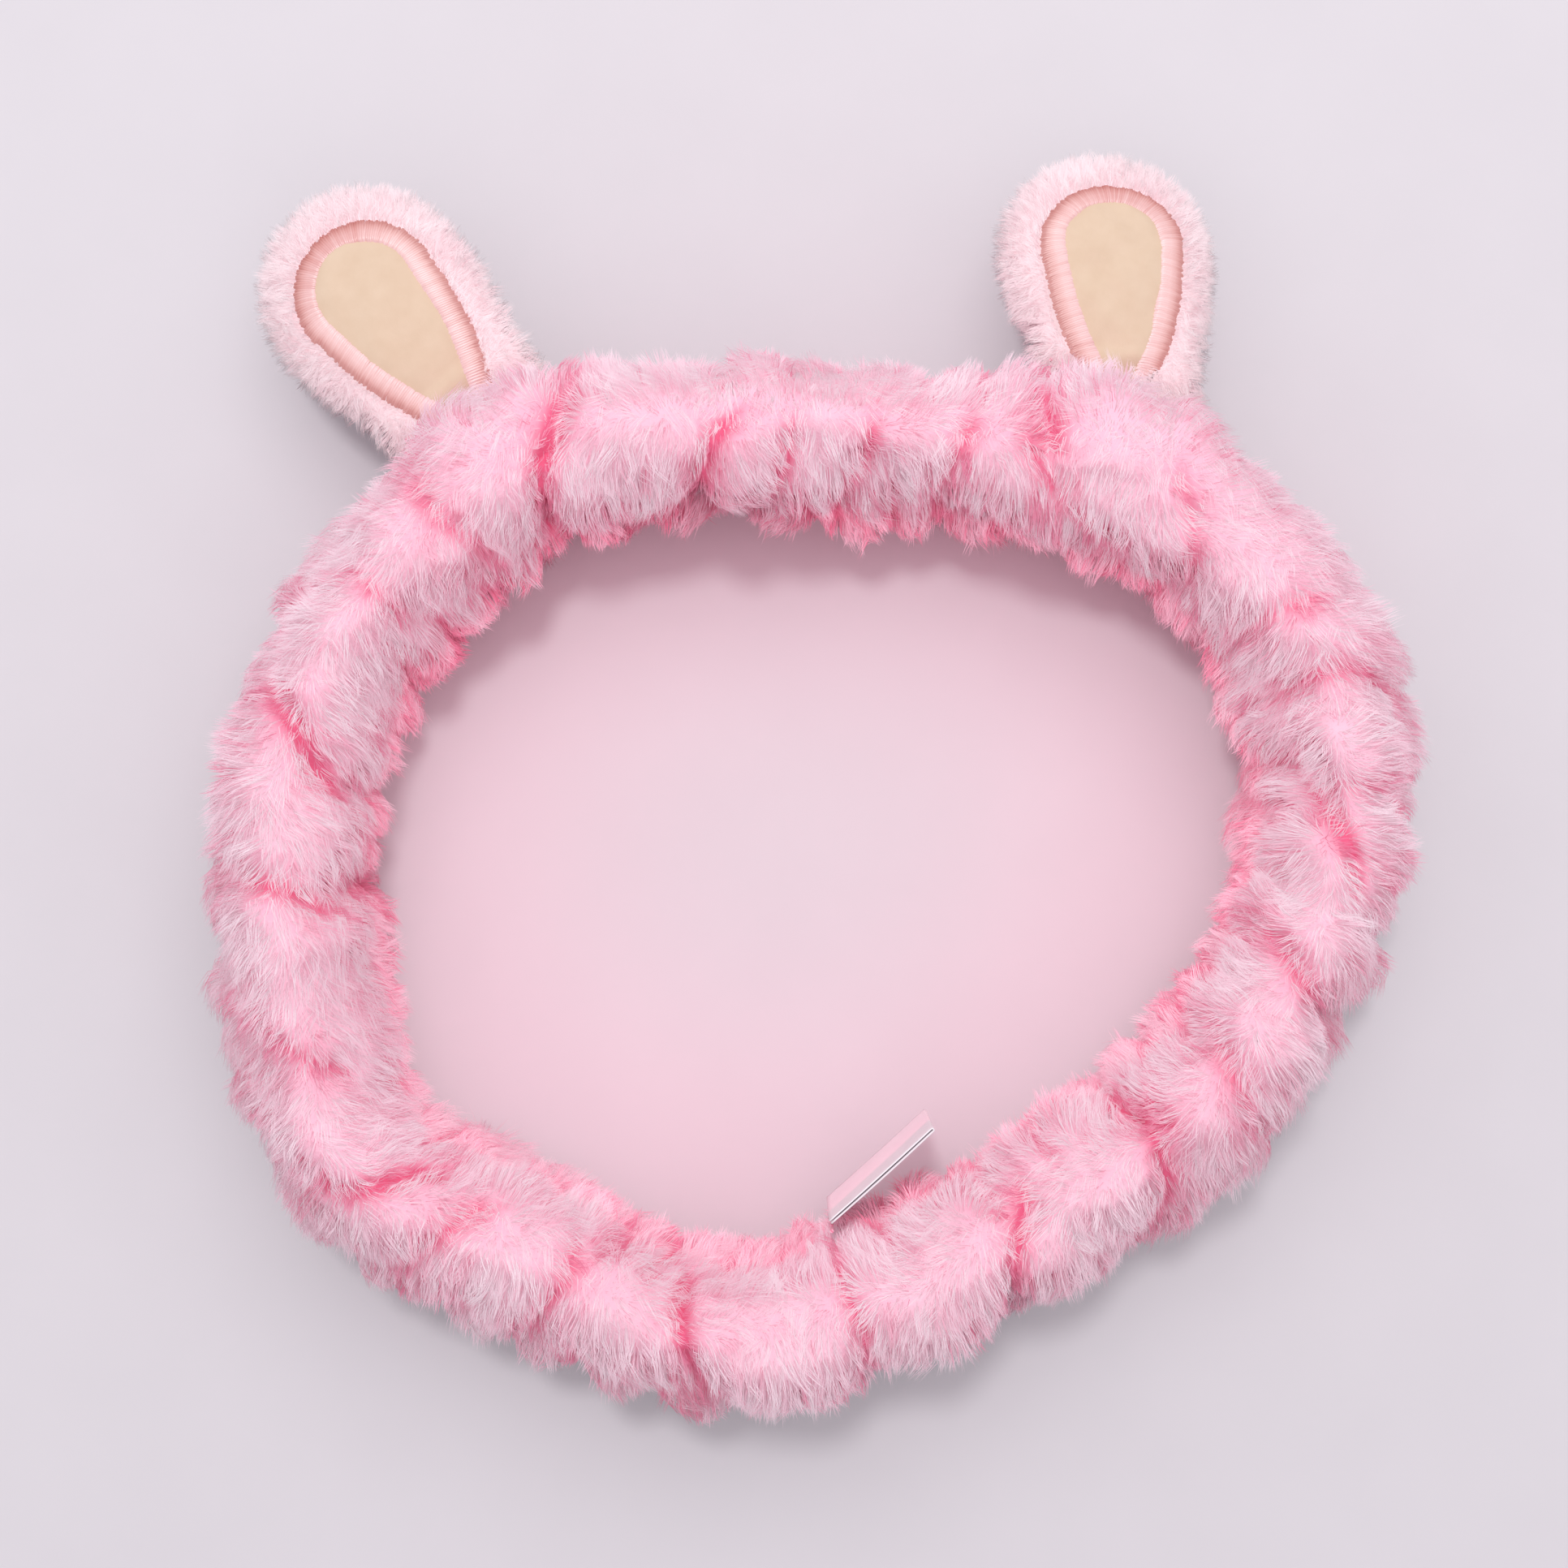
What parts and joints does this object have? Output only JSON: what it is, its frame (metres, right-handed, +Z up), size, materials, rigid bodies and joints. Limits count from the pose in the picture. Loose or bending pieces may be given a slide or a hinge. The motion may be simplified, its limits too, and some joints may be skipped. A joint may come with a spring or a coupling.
{
  "type": "animal ears headband",
  "caption": "Gathered plush elastic headband loop, lying on its edge, with padded animal ears that fold at their base seams and a folded care label inside.",
  "frame": {"origin": "on the surface the headband stands on, under the middle of its overall box", "axes": "+Z up and square to the plane of the loop, +Y from the back of the loop to the ears, +X to the right as seen from above with the ears away from the viewer"},
  "size_m": [0.2012, 0.214, 0.0515],
  "materials": {
    "band_plush": "long soft plush pile, pale pink tips over deeper pink roots",
    "ear_plush": "shorter pale pink plush pile",
    "inner_ear_velour": "short dense cream velour",
    "satin_thread": "glossy rose satin-stitch embroidery thread",
    "sewing_thread": "pink polyester sewing thread",
    "elastic": "white woven elastic",
    "stuffing": "white polyester fibre wadding",
    "label_ribbon": "blank white satin ribbon"
  },
  "bodies": {
    "front_half": {"cover_front": "band_plush", "elastic_front": "elastic", "tube_seam_stitches_front": "sewing_thread", "left_ear_seam_allowance": "ear_plush", "left_ear_base_stitches": "sewing_thread", "right_ear_seam_allowance": "ear_plush", "right_ear_base_stitches": "sewing_thread"},
    "rear_half": {"cover_rear": "band_plush", "elastic_rear_left": "elastic", "elastic_rear_right": "elastic", "elastic_lap_stitches": "sewing_thread", "tube_seam_stitches_rear": "sewing_thread", "closing_seam_stitches": "sewing_thread", "care_label_stitches": "sewing_thread"},
    "left_ear": {"left_ear_front_panel": "ear_plush", "left_ear_back_panel": "ear_plush", "left_ear_stuffing": "stuffing", "left_ear_inner_patch": "inner_ear_velour", "left_ear_satin_border": "satin_thread", "left_ear_edge_stitches": "sewing_thread"},
    "right_ear": {"right_ear_front_panel": "ear_plush", "right_ear_back_panel": "ear_plush", "right_ear_stuffing": "stuffing", "right_ear_inner_patch": "inner_ear_velour", "right_ear_satin_border": "satin_thread", "right_ear_edge_stitches": "sewing_thread"},
    "label_flap": {"care_label": "label_ribbon"}
  },
  "joints": [
    {"name": "band_stretch", "type": "slide", "parent": "front_half", "child": "rear_half", "axis": [0, -1, 0], "range_m": [0, 0.05], "stiffness_N_per_m": 160},
    {"name": "left_ear_fold", "type": "hinge", "parent": "front_half", "child": "left_ear", "pos_m": [-0.05936, 0.06215, 0.025], "axis": [0.8356, 0.5493, 0], "range_deg": [-15, 75], "stiffness_Nm_per_rad": 0.03, "springref_deg": 0.97},
    {"name": "right_ear_fold", "type": "hinge", "parent": "front_half", "child": "right_ear", "pos_m": [0.04956, 0.06654, 0.025], "axis": [0.9513, -0.3084, 0], "range_deg": [-10, 75], "stiffness_Nm_per_rad": 0.03, "springref_deg": 0.97},
    {"name": "care_label_flip", "type": "hinge", "parent": "rear_half", "child": "label_flap", "pos_m": [0.00223, -0.07197, 0.028], "axis": [0, 0, 1], "range_deg": [-10, 130], "stiffness_Nm_per_rad": 0.0002}
  ]
}
